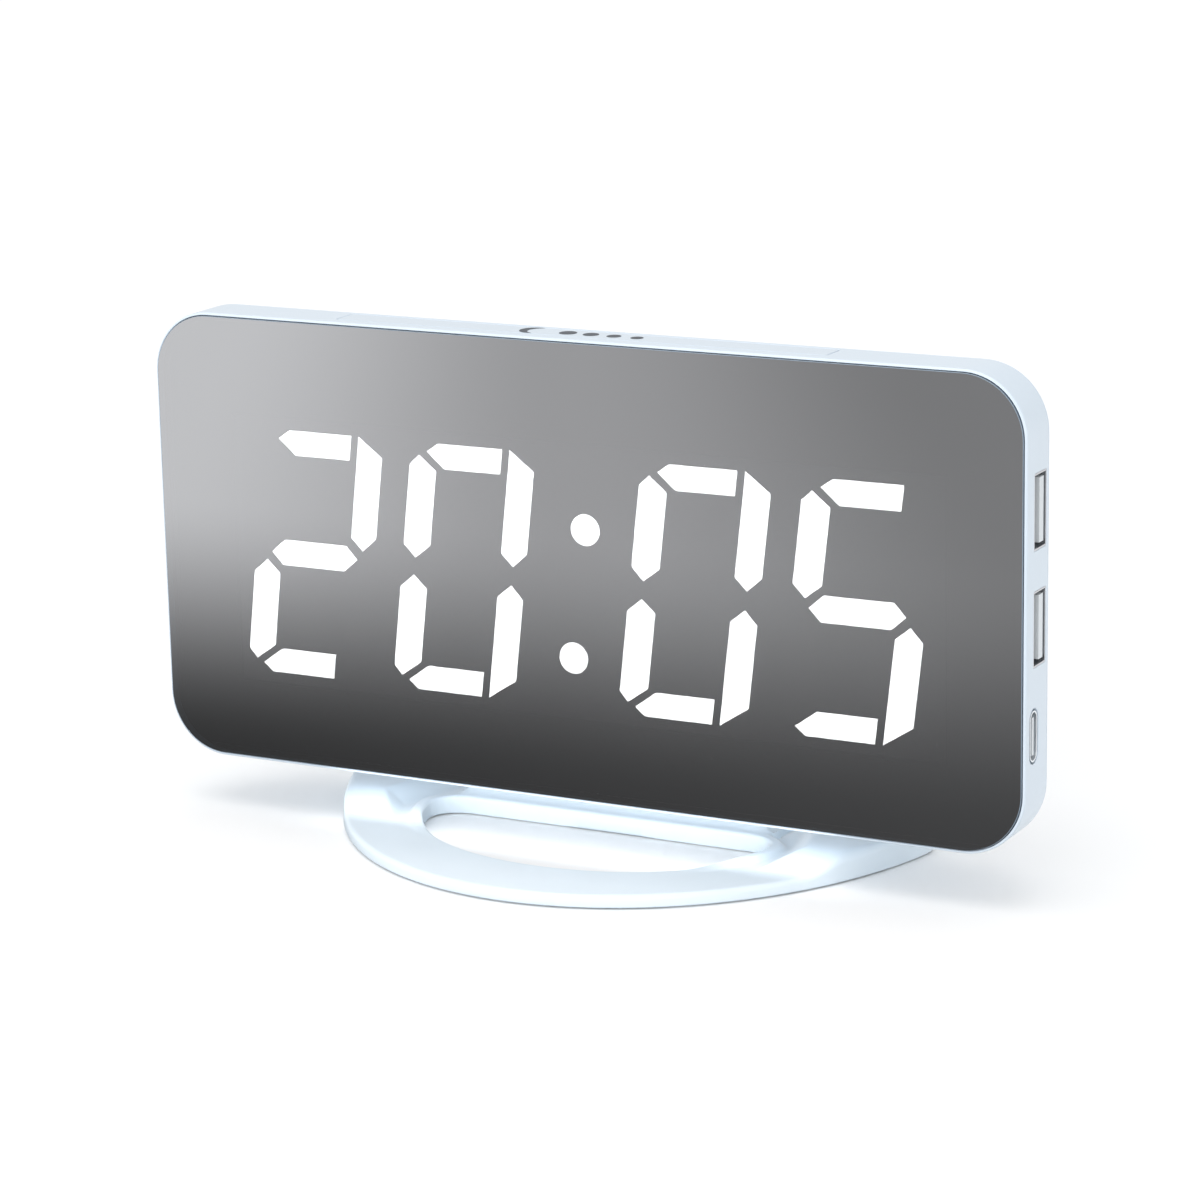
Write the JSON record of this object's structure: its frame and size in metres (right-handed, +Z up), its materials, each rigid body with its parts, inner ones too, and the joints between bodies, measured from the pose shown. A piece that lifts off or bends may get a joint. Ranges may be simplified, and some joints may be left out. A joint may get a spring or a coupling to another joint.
{
  "type": "alarm clock",
  "caption": "Wide mirror-faced LED alarm clock with rounded corners on a detachable half-moon stand, with side charging ports, a top snooze bar and back keys.",
  "frame": {"origin": "on the table, midway across the clock and under the front face of its mirror, which is also the middle of the box's base", "axes": "+X to the clock's right as seen from the front, +Y from the mirror towards the back, +Z up"},
  "size_m": [0.171, 0.06, 0.0931],
  "materials": {
    "shell": "satin, very pale ice blue",
    "stand": "satin, very pale ice blue",
    "mirror": "half-silvered grey mirror",
    "black_tape": "matt",
    "film": "translucent, matt",
    "lit": "glowing white",
    "unlit": "milky",
    "black_plastic": "matt",
    "led": "phosphor yellow",
    "board_white": "white solder mask",
    "board_green": "green solder mask",
    "steel": "zinc plated",
    "chip": "matt",
    "parts": "mixed small parts",
    "ribbon": "white flat cable",
    "connector": "natural nylon",
    "cell": "brushed",
    "contact": "nickel plated",
    "gold": "gold plated",
    "port_metal": "nickel plated",
    "port_plastic": "off-white",
    "wire": "one red and one black wire",
    "stem": "red",
    "pad": "matt grey rubber"
  },
  "bodies": {
    "stand": {"stand_base": "stand", "foot_pads": "pad"},
    "clock": {"mirror_panel": "mirror", "mirror_tape": "black_tape", "diffuser_film": "film", "segments_lit": "lit", "segments_unlit": "unlit", "reflector_housing": "black_plastic", "led_chips": "led", "display_board": "board_white", "display_screws": "steel", "front_frame": "shell", "rear_shell": "shell", "housing_screws": "steel", "main_board": "board_green", "main_board_screws": "steel", "control_chip": "chip", "board_components": "parts", "ribbon_cable": "ribbon", "ribbon_connectors": "connector", "buzzer": "black_plastic", "key_switches": "black_plastic", "snooze_switch": "black_plastic", "coin_cell": "cell", "contact_positive": "contact", "contact_negative": "contact", "port_board": "board_green", "usb_shell_upper": "port_metal", "usb_shell_lower": "port_metal", "usb_tongue_upper": "port_plastic", "usb_tongue_lower": "port_plastic", "usb_contacts": "gold", "power_shell": "port_metal", "power_tongue": "chip", "power_wires": "wire", "wire_connectors": "connector"},
    "snooze_key": {"snooze_button": "shell", "snooze_stem": "stem"},
    "battery_door": {"battery_lid": "shell"},
    "mode_key": {"mode_button": "shell", "mode_stem": "stem"},
    "up_key": {"up_button": "shell", "up_stem": "stem"},
    "down_key": {"down_button": "shell", "down_stem": "stem"},
    "alarm_key": {"alarm_button": "shell", "alarm_stem": "stem"},
    "dim_key": {"dim_button": "shell", "dim_stem": "stem"}
  },
  "joints": [
    {"name": "stand_lift", "type": "slide", "parent": "stand", "child": "clock", "axis": [0, 0, 1], "range_m": [0, 0.016]},
    {"name": "snooze_press", "type": "slide", "parent": "clock", "child": "snooze_key", "axis": [0, 0, -1], "range_m": [0, 0.0005], "stiffness_N_per_m": 1200, "springref_m": -0.0005},
    {"name": "mode_press", "type": "slide", "parent": "clock", "child": "mode_key", "axis": [0, -1, 0], "range_m": [0, 0.0005], "stiffness_N_per_m": 1200, "springref_m": -0.0005},
    {"name": "up_press", "type": "slide", "parent": "clock", "child": "up_key", "axis": [0, -1, 0], "range_m": [0, 0.0005], "stiffness_N_per_m": 1200, "springref_m": -0.0005},
    {"name": "down_press", "type": "slide", "parent": "clock", "child": "down_key", "axis": [0, -1, 0], "range_m": [0, 0.0005], "stiffness_N_per_m": 1200, "springref_m": -0.0005},
    {"name": "alarm_press", "type": "slide", "parent": "clock", "child": "alarm_key", "axis": [0, -1, 0], "range_m": [0, 0.0005], "stiffness_N_per_m": 1200, "springref_m": -0.0005},
    {"name": "dim_press", "type": "slide", "parent": "clock", "child": "dim_key", "axis": [0, -1, 0], "range_m": [0, 0.0005], "stiffness_N_per_m": 1200, "springref_m": -0.0005},
    {"name": "battery_door_hinge", "type": "hinge", "parent": "clock", "child": "battery_door", "pos_m": [0, 0.02425, 0.05795], "axis": [1, 0, 0], "range_deg": [0, 95]}
  ]
}
